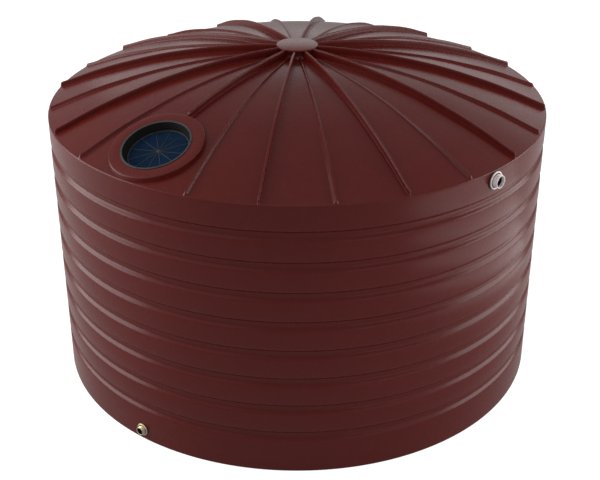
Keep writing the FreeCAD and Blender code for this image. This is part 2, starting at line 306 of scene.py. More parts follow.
def rod(name, radius, start, end, matrix, steps=64):
    """A plain round cutter along +Z of its own axes."""
    bm = turned([(0, start), (radius, start), (radius, end), (0, end)], steps)
    place(bm, matrix)
    return as_object(bm, name)


def manhole_matrix():
    """+Z square to the roof at the manhole, +X straight down its slope."""
    size, hole = sizes(), inlet()
    middle = Vector((hole.reach, 0, plain_level(hole.reach)))
    lean = Matrix.Rotation(size.roof_slope, 4, "Y")
    return Matrix.Rotation(hole.azimuth, 4, "Z") @ Matrix.Translation(middle) @ lean


def outward_matrix(fitting):
    """+Z straight out of the wall along a fitting's axis."""
    lift = Matrix.Translation((0, 0, fitting.height))
    lay = Matrix.Rotation(math.radians(90), 4, "Y")
    return Matrix.Rotation(fitting.azimuth, 4, "Z") @ lift @ lay


# Roof form

# Radii inside which the dome sinks and a shallow rib loses height, and how soon
SINK_START = 1.10
SINK_WIDTH = 0.35
LOW_RIB_START = 0.85
LOW_RIB_WIDTH = 0.65

# Shares of a rib's height and of its fillet
CREST_SHARE = 0.6
LOW_BLEND_SHARE = 0.8

# How finely the ribs, the panels and the eave are divided
CREST_LINES = (0, 0.25, 0.48, 0.68, 0.85, 1.0)
FLANK_LINES = (0.33, 0.67)
FOOT_STEPS = 5
PANEL_STEPS = 8
EAVE_STEPS = 4

# Close rings: out from the boss, in from the collar and in from the eave
HUB_RINGS = (-0.006, 0.0, 0.005, 0.011, 0.018, 0.028)
COLLAR_RINGS = (0.022, 0.0195, 0.017, 0.0145, 0.0125, 0.011, 0.0095, 0.008, 0.004)
EAVE_RINGS = (0.0205, 0.0185, 0.0165, 0.0145, 0.013, 0.0115, 0.010, 0.0085, 0.007, 0.0055)


def swell_share(radius):
    """How far the swell inside the eave has risen at a radius."""
    across = min((sizes().radius - radius) / sizes().swell_run, 1.0)
    return math.sin(math.pi * across) ** 2


def roof_level(radius):
    """Height of the roof between its ribs."""
    size = sizes()
    sunk = size.sink * ease((SINK_START - radius) / SINK_WIDTH)
    return plain_level(radius) + size.swell * swell_share(radius) - sunk


def ease(share):
    """Runs smoothly from 0 to 1 and stays there on both sides."""
    share = min(max(share, 0.0), 1.0)
    return share * share * (3 - 2 * share)


def plain_level(radius):
    """Height of a plain cone that a round dome closes."""
    size = sizes()
    slope = math.tan(size.roof_slope)
    start = size.radius - size.cone_run
    if radius >= start:
        return size.eave + (size.radius - radius) * slope
    dome = (start - size.crown_radius) / math.sin(size.roof_slope)
    middle = size.eave + size.cone_run * slope - dome * math.cos(size.roof_slope)
    run = max(radius - size.crown_radius, 0.0)
    return middle + math.sqrt(dome ** 2 - run ** 2)


def soft_max(a, b, reach):
    """The larger of two heights, with a fillet where they meet."""
    near = max(reach - abs(a - b), 0.0) / reach
    return max(a, b) + near * near * reach / 4


def rib_shape(height, crest, draft):
    """Crest radius, where the round crest ends and where the leaning flank meets the roof."""
    crest = min(crest, height * CREST_SHARE)
    tangent = crest * math.cos(draft)
    foot = tangent + (height - crest + crest * math.sin(draft)) * math.tan(draft)
    return crest, tangent, foot


def rib_rise(offset, height, crest, draft):
    """Height of a rib at a distance from its middle line: round crest, leaning flank."""
    crest, tangent, foot = rib_shape(height, crest, draft)
    if offset < tangent:
        return height - crest + math.sqrt(crest ** 2 - offset ** 2)
    return (foot - offset) / math.tan(draft)


def nose_start(nose):
    """Radius at which a rib's rounded end begins."""
    return sizes().radius - sizes().rib_end - nose


def past_nose(radius, offset, nose, foot):
    """The distance that a rib's section is read at, which rounds its end."""
    over = radius - nose_start(nose)
    if over <= 0:
        return offset
    return math.hypot(offset, over * foot / nose)


def taper(radius, nose):
    """How far down the roof's straight part a radius is, held at the rib's nose."""
    size = sizes()
    held = min(radius, nose_start(nose))
    return held, max(0.0, held - size.radius + size.cone_run) / size.cone_run


def tall_section(radius):
    """Height, crest and draft of a tall rib at a radius."""
    size = sizes()
    held, out = taper(radius, size.tall_nose)
    hub_share = math.exp(-((held - size.boss_radius) / size.tall_fade) ** 2)
    height = size.tall_height + (size.tall_hub_height - size.tall_height) * hub_share
    height -= (size.tall_height - size.tall_rim_height) * out
    return height, size.tall_crest, size.tall_draft


def low_section(radius):
    """Height, crest and draft of a shallow rib at a radius."""
    size = sizes()
    outwards = ease((radius - LOW_RIB_START) / LOW_RIB_WIDTH)
    height = size.low_hub_height + (size.low_height - size.low_hub_height) * outwards
    return height, size.low_crest, size.low_draft


def rise_over(radius, offset, section, nose):
    """Height of a rib over the roof, with its end rounded in plan and from the side."""
    foot = rib_shape(*section)[2]
    rise = rib_rise(past_nose(radius, offset, nose, foot), *section)
    over = min(radius - nose_start(nose), nose)
    if over > 0:
        rise = min(rise, section[0] - nose + math.sqrt(nose ** 2 - over ** 2))
    return rise


def collar_crown():
    """Radius at which the roof runs into the uphill side of the collar."""
    return inlet().reach - inlet().collar_radius * math.cos(sizes().roof_slope)


def roof_rows():
    """Radius and height of each ring of the roof, close at the hub, the collar and the eave."""
    size = sizes()
    collar = collar_crown()
    radii = [size.boss_radius + step for step in HUB_RINGS]
    widest, growth, eave_band = 0.036, 0.09, 0.075
    while radii[-1] < size.radius - eave_band:
        radii.append(radii[-1] + min(widest, radii[-1] * growth))
    above, below = 0.030, 0.006
    radii = [r for r in radii if not collar - above <= r <= collar + below]
    radii += [collar - step for step in COLLAR_RINGS]
    radii += [size.radius - 0.064 + 0.005 * step for step in range(9)]
    radii += [size.radius - step for step in EAVE_RINGS]
    rows = [(r, roof_level(r)) for r in sorted(radii)]
    rounding = size.eave_round
    reach = rounding * math.tan((math.pi / 2 - size.roof_slope) / 2)
    middle = (size.radius - rounding, size.eave - reach)
    for step in range(EAVE_STEPS + 1):
        angle = size.roof_slope + (math.pi / 2 - size.roof_slope) * step / EAVE_STEPS
        rows.append((middle[0] + rounding * math.sin(angle),
                     middle[1] + rounding * math.cos(angle)))
    rows.append((size.radius, size.wall_top))
    return rows


def rib_lines(section, blend_reach):
    """Offsets of the lines over half a rib: round its crest, down its flank, round its foot."""
    crest, tangent, foot = rib_shape(*section)
    fillet = blend_reach * math.tan(section[2])
    start = max(foot - fillet, tangent + 0.001)
    step = (foot + fillet - start) / FOOT_STEPS
    lines = [tangent * share for share in CREST_LINES]
    lines += [tangent + (start - tangent) * share for share in FLANK_LINES]
    return lines + [start + step * number for number in range(FOOT_STEPS + 1)]


def roof_offsets(radius, arc):
    """Where the lines of half a rib bay cross a ring: close on the ribs, wide between."""
    size = sizes()
    tall = rib_lines(tall_section(radius), size.rib_blend)
    low = rib_lines(low_section(radius), size.rib_blend * LOW_BLEND_SHARE)
    squeeze = min(1.0, 0.9 * arc / (tall[-1] + low[-1]))
    near = [offset * squeeze for offset in tall]
    far = [arc - offset * squeeze for offset in reversed(low)]
    gap = far[0] - near[-1]
    ends = [min(0.005, 0.10 * gap), min(0.014, 0.22 * gap)]
    span = gap - 2 * ends[1]
    middle = [near[-1] + ends[1] + span * step / PANEL_STEPS for step in range(PANEL_STEPS + 1)]
    return near + [near[-1] + ends[0]] + middle + [far[0] - ends[0]] + far


def roof_shell():
    """One rib bay from a grid, mirrored, repeated round the hub and closed below."""
    size = sizes()
    rows = roof_rows()
    half_bay = FULL_TURN / size.rib_count / 2
    lines = len(roof_offsets(size.radius, size.radius * half_bay))
    bm = bmesh.new()
    bmesh.ops.create_grid(bm, x_segments=len(rows) - 1, y_segments=lines - 1, size=0.5)
    level_layer = bm.verts.layers.float.new("level")
    offsets = [roof_offsets(radius, radius * half_bay) for radius, level in rows]
    for vert in bm.verts:
        row = round((vert.co.x + 0.5) * (len(rows) - 1))
        line = round((vert.co.y + 0.5) * (lines - 1))
        radius, level = rows[row]
        offset = offsets[row][line]
        tall = rise_over(radius, offset, tall_section(radius), size.tall_nose)
        low = rise_over(radius, radius * half_bay - offset, low_section(radius), size.low_nose)
        rise = soft_max(tall, 0.0, size.rib_blend)
        rise = soft_max(rise, low, size.rib_blend * LOW_BLEND_SHARE)
        if row >= len(rows) - 2:
            rise = 0.0
        angle = offset / radius
        vert.co = (radius * math.cos(angle), radius * math.sin(angle), level + rise)
        vert[level_layer] = level
    bmesh.ops.mirror(bm, geom=bm.verts[:] + bm.edges[:] + bm.faces[:],
                     matrix=Matrix.Identity(4), merge_dist=1e-6, axis="Y")
    repeat(bm, size.rib_count)
    place(bm, Matrix.Rotation(size.rib_azimuth, 4, "Z"))
    bmesh.ops.remove_doubles(bm, verts=bm.verts[:], dist=2e-6)
    stop_rib_at_collar(bm, level_layer)
    line_roof(bm, rows[0][0])
    tidy(bm)
    return bm


def stop_rib_at_collar(bm, level_layer):
    """The tall rib that runs towards the manhole ends, rounded over, against the collar."""
    size, hole = sizes(), inlet()
    bay = FULL_TURN / size.rib_count
    rib_at = size.rib_azimuth + round((hole.azimuth - size.rib_azimuth) / bay) * bay
    gap, rounding, half_width = 0.009, 0.012, 0.05
    stop = collar_crown() - gap
    for vert in bm.verts:
        radius = math.hypot(vert.co.x, vert.co.y)
        turned_by = math.atan2(vert.co.y, vert.co.x) - rib_at
        turned_by = abs((turned_by + math.pi) % FULL_TURN - math.pi)
        if radius * turned_by > half_width or radius < stop - rounding:
            continue
        if radius > stop:
            vert.co.z = vert[level_layer]
            continue
        into = radius - stop + rounding
        crest = vert[level_layer] + tall_section(radius)[0]
        vert.co.z = min(vert.co.z, crest - rounding + math.sqrt(rounding ** 2 - into ** 2))


def line_roof(bm, start):
    """Carries the roof's edge down and back up its inside, so that the shell is closed."""
    size = sizes()
    rim = [e for e in bm.edges if e.is_boundary
           and all(v.co.z < size.wall_top + 1e-4 for v in e.verts)]
    top = [e for e in bm.edges if e.is_boundary and e not in set(rim)]
    inner = size.inner
    levels = [(inner, size.wall_top), (inner, roof_level(inner) - size.roof_skin * 1.05)]
    radius, step = 1.5, 0.2
    while radius > start + step / 2:
        levels.append((radius, roof_level(radius) - size.roof_skin))
        radius -= step
    levels.append((start, roof_level(start) - size.roof_skin))
    for radius, level in levels:
        made = bmesh.ops.extrude_edge_only(bm, edges=rim)["geom"]
        rim = [g for g in made if isinstance(g, bmesh.types.BMEdge)]
        for vert in {v for e in rim for v in e.verts}:
            scale = radius / math.hypot(vert.co.x, vert.co.y)
            vert.co = (vert.co.x * scale, vert.co.y * scale, level)
    bmesh.ops.bridge_loops(bm, edges=rim + top)


def wall_corners():
    """The wall's section: plain bands, rolled grooves between them and a plain inside."""
    size = sizes()
    deep = size.radius - size.groove_depth
    height = 2 * size.groove_slope + size.groove_floor
    first = size.eave - size.top_band
    pitch = (first - height - size.foot_band) / (size.groove_count - 1)
    corners = [(size.inner, size.floor), (size.radius, size.floor)]
    for number in reversed(range(size.groove_count)):
        top = first - number * pitch
        corners += [(size.radius, top - height, size.groove_round),
                    (deep, top - height + size.groove_slope, size.groove_round),
                    (deep, top - size.groove_slope, size.groove_round),
                    (size.radius, top, size.groove_round)]
    return corners + [(size.radius, size.wall_top), (size.inner, size.wall_top)]


# Materials


def shader(name, base, roughness, metallic=0.0, specular=0.5):
    """A material with its Principled shader and its object coordinates."""
    material = bpy.data.materials.new(name)
    material.use_nodes = True
    tree = material.node_tree
    principled = tree.nodes["Principled BSDF"]
    principled.inputs["Base Color"].default_value = (*base, 1)
    principled.inputs["Roughness"].default_value = roughness
    principled.inputs["Metallic"].default_value = metallic
    principled.inputs["Specular IOR Level"].default_value = specular
    place_node = tree.nodes.new("ShaderNodeTexCoord")
    return material, tree, principled, place_node.outputs["Object"]


def noise(tree, vector, scale, detail=3.0, roughness=0.5):
    """A cloudy pattern in the material's coordinates."""
    made = tree.nodes.new("ShaderNodeTexNoise")
    made.inputs["Scale"].default_value = scale
    made.inputs["Detail"].default_value = detail
    made.inputs["Roughness"].default_value = roughness
    tree.links.new(vector, made.inputs["Vector"])
    return made.outputs["Fac"]


def spread(tree, value, low, high, to_low, to_high):
    """Maps a range of a pattern to another, held at its ends."""
    made = tree.nodes.new("ShaderNodeMapRange")
    tree.links.new(value, made.inputs["Value"])
    numbers = {"From Min": low, "From Max": high, "To Min": to_low, "To Max": to_high}
    for key, number in numbers.items():
        made.inputs[key].default_value = number
    return made.outputs["Result"]


def blend(tree, factor, first, second):
    """Mixes two colours, each given as numbers or as an output."""
    made = tree.nodes.new("ShaderNodeMix")
    made.data_type = "RGBA"
    tree.links.new(factor, made.inputs["Factor"])
    for key, value in (("A", first), ("B", second)):
        socket = next(s for s in made.inputs if s.name == key and s.type == "RGBA")
        if isinstance(value, bpy.types.NodeSocket):
            tree.links.new(value, socket)
        else:
            socket.default_value = (*value, 1)
    return next(s for s in made.outputs if s.type == "RGBA")


def toned(colour, factor):
    """A colour made darker or paler."""
    return tuple(min(1.0, part * factor) for part in colour)


def reckon(tree, operation, first, second):
    """Works with two values, each a number or an output."""
    made = tree.nodes.new("ShaderNodeMath")
    made.operation = operation
    for socket, value in zip(made.inputs, (first, second)):
        if isinstance(value, bpy.types.NodeSocket):
            tree.links.new(value, socket)
        else:
            socket.default_value = value
    return made.outputs["Value"]


def bump(tree, principled, height, strength, distance, under=None):
    """Raises the surface by a pattern, over a coarser one if that is given."""
    made = tree.nodes.new("ShaderNodeBump")
    made.inputs["Strength"].default_value = strength
    made.inputs["Distance"].default_value = distance
    tree.links.new(height, made.inputs["Height"])
    if under is not None:
        tree.links.new(under, made.inputs["Normal"])
    tree.links.new(made.outputs["Normal"], principled.inputs["Normal"])
    return made.outputs["Normal"]


def moulded_plastic():
    """Satin polyethylene: faint flow mottling, a pale bloom and an orange-peel skin."""
    look = finishes()
    material, tree, principled, vector = shader("moulded_polyethylene", look.plastic, 0.27, 0.0, 0.21)
    flow = noise(tree, vector, 1.3, 4.0)
    cloud = noise(tree, vector, 17.0, 5.0, 0.6)
    grain = noise(tree, vector, 420.0, 2.0)
    deep = toned(look.plastic, 0.90)
    body = blend(tree, spread(tree, flow, 0.3, 0.7, 0.0, 1.0), deep, look.plastic)
    body = blend(tree, spread(tree, cloud, 0.52, 0.85, 0.0, 0.35), body, look.plastic_pale)
    tree.links.new(body, principled.inputs["Base Color"])
    tree.links.new(spread(tree, cloud, 0.3, 0.7, 0.24, 0.30), principled.inputs["Roughness"])
    peel = bump(tree, principled, noise(tree, vector, 60.0, 2.0), 0.03, 0.0006)
    bump(tree, principled, grain, 0.02, 0.0002, peel)
    return material


def ring_finish():
    """Black ring whose top face is painted grey as if lit (painted highlight), mottled by random
    wear; the lower ring is grey all over.
    """
    look = finishes()
    material, tree, principled, vector = shader("ring_lit_top_painted", look.ring, 0.45, 0.0, 0.3)
    wear = noise(tree, vector, 60.0, 4.0)
    lit_grey_wear = spread(tree, wear, 0.35, 0.65, 0, 1)
    lit_grey_wear = blend(tree, lit_grey_wear, toned(look.ring, 0.6), look.ring)
    parts = tree.nodes.new("ShaderNodeSeparateXYZ")
    tree.links.new(local_coordinates(tree, vector, manhole_matrix()), parts.inputs["Vector"])
    # Painted highlight: the rim's top face is grey as if lit and its sides are black; the lower ring
    # is grey all over.
    top = inlet().collar_height
    lit_top = spread(tree, parts.outputs["Z"], top + 0.0022, top + 0.0032, 0.0, 1.0)
    below = spread(tree, parts.outputs["Z"], top - 0.030, top - 0.010, 1.0, 0.0)
    face = reckon(tree, "MAXIMUM", lit_top, below)
    tree.links.new(blend(tree, face, look.basket, lit_grey_wear), principled.inputs["Base Color"])
    tree.links.new(spread(tree, wear, 0.3, 0.7, 0.35, 0.6), principled.inputs["Roughness"])
    bump(tree, principled, noise(tree, vector, 900.0), 0.15, 0.0003)
    return material


def perforated_black():
    """Black basket wall with rows of small round holes, laid out on the piece's own map."""
    look = finishes()
    material, tree, principled, vector = shader("perforated_basket", look.basket, 0.65, 0.0, 0.06)
    layout = tree.nodes.new("ShaderNodeUVMap")
    layout.uv_map = "wrap"
    parts = tree.nodes.new("ShaderNodeSeparateXYZ")
    tree.links.new(layout.outputs["UV"], parts.inputs["Vector"])
    row = reckon(tree, "FLOOR", parts.outputs["Y"], 0.0)
    shift = reckon(tree, "MULTIPLY", row, 0.5)
    across = reckon(tree, "FRACT", reckon(tree, "ADD", parts.outputs["X"], shift), 0.0)
    along = reckon(tree, "FRACT", parts.outputs["Y"], 0.0)
    dx = reckon(tree, "POWER", reckon(tree, "SUBTRACT", across, 0.5), 2.0)
    dy = reckon(tree, "POWER", reckon(tree, "SUBTRACT", along, 0.5), 2.0)
    distance = reckon(tree, "SQRT", reckon(tree, "ADD", dx, dy), 0.0)
    # The holes are only painted: pale dots stand for light showing through them.
    hole = spread(tree, distance, 0.17, 0.25, 1.0, 0.0)
    wall = blend(tree, noise(tree, vector, 40.0), look.basket, toned(look.basket, 1.8))
    tree.links.new(blend(tree, hole, wall, look.basket_hole), principled.inputs["Base Color"])
    bump(tree, principled, spread(tree, distance, 0.15, 0.30, 0.0, 1.0), 0.6, 0.001)
    return material


def local_coordinates(tree, vector, matrix):
    """Object coordinates seen from the manhole's own tilted axes."""
    made = tree.nodes.new("ShaderNodeMapping")
    made.vector_type = "TEXTURE"
    made.inputs["Location"].default_value = matrix.to_translation()
    made.inputs["Rotation"].default_value = matrix.to_euler()
    tree.links.new(vector, made.inputs["Vector"])
    return made.outputs["Vector"]


def weave(tree, vector, direction, scale):
    """The wires of a cloth that run one way."""
    made = tree.nodes.new("ShaderNodeTexWave")
    made.wave_type = "BANDS"
    made.bands_direction = direction
    made.inputs["Scale"].default_value = scale
    made.inputs["Distortion"].default_value = 0.0
    tree.links.new(vector, made.inputs["Vector"])
    return made.outputs["Fac"]


def woven_mesh():
    """Fine square weave in dark blue."""
    look = finishes()
    material, tree, principled, vector = shader("woven_mesh", look.mesh, 0.8, 0.0, 0.03)
    flat = local_coordinates(tree, vector, manhole_matrix())
    warp = weave(tree, flat, "X", 150.0)
    weft = weave(tree, flat, "Y", 150.0)
    wires = reckon(tree, "MAXIMUM", warp, weft)
    body = blend(tree, spread(tree, wires, 0.45, 0.8, 0, 1), toned(look.mesh, 0.45), look.mesh)
    dust = spread(tree, noise(tree, vector, 22.0, 4.0), 0.45, 0.8, 0, 0.6)
    body = blend(tree, dust, body, toned(look.mesh, 1.35))
    tree.links.new(body, principled.inputs["Base Color"])
    bump(tree, principled, wires, 0.5, 0.0006)
    return material


def speckled(name, base, roughness, scale, depth):
    """A moulded finish: uneven tone, uneven gloss and a fine surface."""
    material, tree, principled, vector = shader(name, base, roughness)
    patches = noise(tree, vector, scale, 5.0, 0.6)
    body = blend(tree, spread(tree, patches, 0.35, 0.65, 0, 1), toned(base, 0.72), base)
    gloss = spread(tree, patches, 0.3, 0.7, roughness * 0.85, roughness * 1.2)
    tree.links.new(body, principled.inputs["Base Color"])
    tree.links.new(gloss, principled.inputs["Roughness"])
    bump(tree, principled, noise(tree, vector, scale * 9), 0.25, depth)
    return material


def pale_brass():
    """Cast brass, painted bright cream where it faces up and a darker pinkish grey elsewhere: painted
    light and shade, the grey tinted by the red wall's painted reflection.
    """
    look = finishes()
    material, tree, principled, vector = shader("pale_brass", look.brass, 0.28, 0.25)
    facing = tree.nodes.new("ShaderNodeNewGeometry")
    parts = tree.nodes.new("ShaderNodeSeparateXYZ")
    tree.links.new(facing.outputs["Normal"], parts.inputs["Vector"])
    # Painted light and shade: faces turned up take the bright colour, the others take the shaded
    # pinkish tone.
    lit_top = spread(tree, parts.outputs["Z"], 0.25, 0.65, 0, 1)
    patches = spread(tree, noise(tree, vector, 55.0, 5.0, 0.6), 0.35, 0.65, 0, 1)
    shaded = blend(tree, patches, toned(look.brass_shaded, 0.75), look.brass_shaded)
    tree.links.new(blend(tree, lit_top, shaded, look.brass), principled.inputs["Base Color"])
    tree.links.new(spread(tree, patches, 0, 1, 0.24, 0.36), principled.inputs["Roughness"])
    bump(tree, principled, noise(tree, vector, 500.0), 0.25, 0.0003)
    return material


def material_once(name, make):
    """A material that several pieces share."""
    return bpy.data.materials.get(name) or make()


def wrap_map(bm, columns, row_height):
    """Unrolls a round wall onto a map: one unit for each column and each row of holes."""
    layer = bm.loops.layers.uv.new("wrap")
    for face in bm.faces:
        middle = face.calc_center_median()
        at = math.atan2(middle.y, middle.x)
        for loop in face.loops:
            co = loop.vert.co
            angle = math.atan2(co.y, co.x)
            angle += FULL_TURN * round((at - angle) / FULL_TURN)
            loop[layer].uv = (angle / FULL_TURN * columns, co.z / row_height)


# Pieces


class TankOperator(bpy.types.Operator):
    bl_options = {"REGISTER", "UNDO"}


class TANK_OT_wall(TankOperator):
    """Models the grooved wall and bores it for the two fittings"""

    bl_idname = "tank.wall"
    bl_label = "Wall"

    def execute(self, context):
        fittings = (context.scene.tank_overflow, context.scene.tank_outlet)
        bm = turned(wall_corners(), WALL_STEPS)
        for fitting in fittings:
            frame_hole(bm, fitting)
        wall = as_object(bm, "tank_wall")
        past = 0.05
        cutters = [rod("hole", fitting.tail + HOLE_CLEARANCE, sizes().inner - past,
                       sizes().radius + past, outward_matrix(fitting))
                   for fitting in fittings]
        cut(wall, cutters)
        nodes = [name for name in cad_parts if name.startswith("wall_segment")]
        keep_plastic(wall, *nodes)
        return {"FINISHED"}


def frame_hole(bm, fitting):
    """Cuts lines into the wall round a fitting, so that its hole changes no face far from it."""
    size = sizes()
    half = fitting.gasket * 0.8
    reach = 0.3
    middle = Matrix.Rotation(fitting.azimuth, 4, "Z") @ Vector((size.radius, 0, fitting.height))
    for side in (-half, half):
        near = [f for f in bm.faces if (f.calc_center_median() - middle).length < reach]
        around = Matrix.Rotation(fitting.azimuth + side / size.radius, 4, "Z")
        for plane_at, across in (((0, 0, fitting.height + side), (0, 0, 1)),
                                 ((0, 0, 0), around @ Vector((0, 1, 0)))):
            near = [f for f in near if f.is_valid]
            bounds = {e for f in near for e in f.edges} | {v for f in near for v in f.verts}
            cut_made = bmesh.ops.bisect_plane(bm, geom=near + list(bounds), dist=1e-6,
                                              plane_co=plane_at, plane_no=across)
            near = [g for g in cut_made["geom"] if isinstance(g, bmesh.types.BMFace)]


class TANK_OT_floor(TankOperator):
    """Models the flat round floor"""

    bl_idname = "tank.floor"
    bl_label = "Floor"

    def execute(self, context):
        size = sizes()
        corners = [(0, 0), (size.radius * 0.5, 0), (size.radius, 0, 0.004),
                   (size.radius, size.floor), (0, size.floor)]
        keep_plastic(as_object(turned(corners, WALL_STEPS), "tank_floor"), "base_floor")
        return {"FINISHED"}


class TANK_OT_roof(TankOperator):
    """Models the ribbed dome and opens it for the strainer"""

    bl_idname = "tank.roof"
    bl_label = "Roof"

    def execute(self, context):
        roof = as_object(roof_shell(), "tank_roof", 50.0)
        cut(roof, [rod("hole", inlet().opening + 0.006, -0.2, 0.2, manhole_matrix(), 96)])
        nodes = [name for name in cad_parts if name.startswith("roof_sector")]
        keep_plastic(roof, *nodes)
        return {"FINISHED"}


class TANK_OT_hub(TankOperator):
    """Models the flat cap on its boss"""

    bl_idname = "tank.hub"
    bl_label = "Hub"

    def execute(self, context):
        size = sizes()
        crown = roof_level(0)
        root = crown - size.roof_skin
        cap_foot = size.hub_top - size.hub_cap
        foot_radius, foot_height = 0.150, 0.016
        corners = [(0, root), (foot_radius, root), (foot_radius, crown),
                   (size.boss_radius, crown + foot_height, 0.006),
                   (size.boss_radius, cap_foot), (size.hub_radius, cap_foot, 0.002),
                   (size.hub_radius, size.hub_top, 0.004), (0, size.hub_top)]
        keep_plastic(as_object(turned(corners, RING_STEPS), "hub_cap"), "roof_hub")
        return {"FINISHED"}


class TANK_OT_collar(TankOperator):
    """Models the raised collar round the manhole"""

    bl_idname = "tank.collar"
    bl_label = "Manhole collar"

    def execute(self, context):
        hole = inlet()
        root = -0.02
        skirt = hole.collar_radius + 0.003
        corners = [(hole.opening, root), (skirt, root), (skirt, 0.0),
                   (hole.collar_radius, 0.009, 0.004),
                   (hole.collar_radius, hole.collar_height, 0.008),
                   (hole.opening, hole.collar_height, 0.003)]
        bm = turned(corners, 160, 4)
        place(bm, manhole_matrix())
        keep_plastic(as_object(bm, "inlet_collar"), "manhole_collar")
        return {"FINISHED"}


class TANK_OT_strainer(TankOperator):
    """Models the strainer: rim, basket wall, lower ring, mesh and spokes"""

    bl_idname = "tank.strainer"
    bl_label = "Inlet strainer"

    def execute(self, context):
        hole = inlet()
        top = hole.collar_height
        foot = top - hole.basket_depth
        skin = hole.basket_skin
        ring_outer = hole.basket_foot - skin
        ring_inner = ring_outer - 0.007
        ring_top = foot + 0.005
        mesh_foot = foot - 0.002
        ring = material_once("ring_lit_top_painted", ring_finish)
        grey = speckled("spoke_plastic", finishes().spoke, 0.5, 70.0, 0.0004)

        rim = turned([(hole.rim_inner, top), (hole.rim_outer, top),
                      (hole.rim_outer, top + hole.rim_height, 0.0018),
                      (hole.rim_inner, top + hole.rim_height, 0.0018)], RING_STEPS)
        basket = turned([(hole.basket_top, top), (hole.basket_foot, foot),
                         (ring_outer, foot), (hole.basket_top - skin, top)], RING_STEPS)
        wrap_map(basket, 96, 0.0125)
        lower = turned([(ring_inner, foot), (ring_outer, foot), (ring_outer, ring_top, 0.0015),
                        (ring_inner, ring_top, 0.002)], RING_STEPS)
        disc = turned([(0, mesh_foot), (hole.basket_foot, mesh_foot),
                       (hole.basket_foot, foot), (0, foot)], RING_STEPS)

        hang(rim, "strainer_top_ring", ring, "strainer_ring", "strainer_rim")
        hang(basket, "strainer_wall", perforated_black(), "strainer_basket", "strainer_basket")
        hang(lower, "strainer_foot_ring", ring, "strainer_ring", "strainer_lower_ring")
        hang(disc, "strainer_weave", woven_mesh(), "strainer_mesh", "strainer_mesh")
        hang(spoke_star(ring_inner, foot), "strainer_star", grey, "strainer_spoke",
             "strainer_spokes")
        return {"FINISHED"}


def hang(bm, name, material, slot, node):
    """Sets a piece of the strainer in the collar."""
    place(bm, manhole_matrix())
    keep(as_object(bm, name), material, slot, node)


def spoke_star(reach, foot):
    """Bevelled bars from one cube, repeated round a small domed hub."""
    hole = inlet()
    thickness = 0.0028
    bm = bmesh.new()
    bmesh.ops.create_cube(bm, size=1.0)
    bmesh.ops.scale(bm, vec=(reach, hole.spoke_width, thickness), verts=bm.verts[:])
    bmesh.ops.translate(bm, vec=(reach / 2, 0, foot + thickness / 2), verts=bm.verts[:])
    long_edges = [e for e in bm.edges if abs(e.verts[0].co.x - e.verts[1].co.x) > reach / 2
                  and e.verts[0].co.z > foot + thickness / 2]
    bmesh.ops.bevel(bm, geom=long_edges, offset=0.0012, offset_type="OFFSET", segments=2,
                    profile=0.5, material=-1, affect="EDGES")
    repeat(bm, hole.spoke_count)
    place(bm, Matrix.Rotation(hole.spoke_start, 4, "Z"))
    radius = 0.011
    hub = turned([(0, foot), (radius, foot), (radius, foot + 0.004, 0.002), (0, foot + 0.005)], 32)
    mesh = bpy.data.meshes.new("hub")
    hub.to_mesh(mesh)
    hub.free()
    bm.from_mesh(mesh)
    bpy.data.meshes.remove(mesh)
    return bm


def thread(radius, depth, start, end, pitch):
    """Corners of a row of thread ridges along a spigot."""
    corners = []
    along = start
    while along + pitch <= end:
        corners += [(radius - depth, along), (radius, along + pitch / 2)]
        along += pitch
    return corners + [(radius - depth, along)]


def fitting_piece(fitting, name):
    """Flanged tube with a beaded flange, a threaded spigot and a rounded mouth."""
    size = sizes()
    seat = size.radius + fitting.gasket_thick
    face = seat + fitting.flange_thick
    mouth = face + fitting.spigot_long
    past_nut = 0.006
    tail = size.inner - fitting.nut_thick - past_nut
    neck = fitting.spigot - 0.0015
    groove = face - 0.006
    depth, pitch, plain_end = 0.0012, 0.0023, 0.006
    corners = [(fitting.bore, tail), (fitting.tail, tail), (fitting.tail, seat),
               (fitting.flange, seat, 0.002), (fitting.flange, face, 0.004),
               (fitting.flange - 0.010, face, 0.003), (fitting.flange - 0.0115, groove, 0.001),
               (neck, groove)]
    corners += thread(fitting.spigot, depth, face + 0.001, mouth - plain_end, pitch)
    corners += [(fitting.spigot, mouth - 0.005), (fitting.spigot, mouth, 0.002),
                (fitting.bore, mouth, 0.0015), (fitting.bore, mouth - fitting.lit_depth)]
    bm = turned(corners, 96)
    # Painted shade: the deep bore and the recess round the spigot take the black rubber material to
    # stand for their shade.
    for part in bm.faces:
        middle = part.calc_center_median()
        out_by = math.hypot(middle.x, middle.y)
        deep = out_by < fitting.bore + 0.0002 and middle.z < mouth - fitting.lit_depth
        low = fitting.spigot < out_by < fitting.flange - 0.011 and abs(middle.z - groove) < 0.001
        part.material_index = int(deep or low)
    place(bm, outward_matrix(fitting))
    return as_object(bm, name, 50.0)


def washer_piece(fitting, name):
    """Rubber washer between a flange and the round wall."""
    inner = fitting.tail + HOLE_CLEARANCE
    seat = sizes().radius - 0.004
    face = sizes().radius + fitting.gasket_thick
    corners = [(inner, seat), (fitting.gasket, seat), (fitting.gasket, face, 0.0015),
               (inner, face)]
    bm = turned(corners, 96)
    place(bm, outward_matrix(fitting))
    keep(as_object(bm, name), rubber(), "seal_rubber", "fitting_gaskets")


# The washers' black rubber, also used as painted shade in the fittings' bores and spigot recesses.
def rubber():
    return material_once("black_rubber_and_bore_shade", lambda: speckled(
        "black_rubber_and_bore_shade", finishes().rubber, 0.6, 120.0, 0.0003))


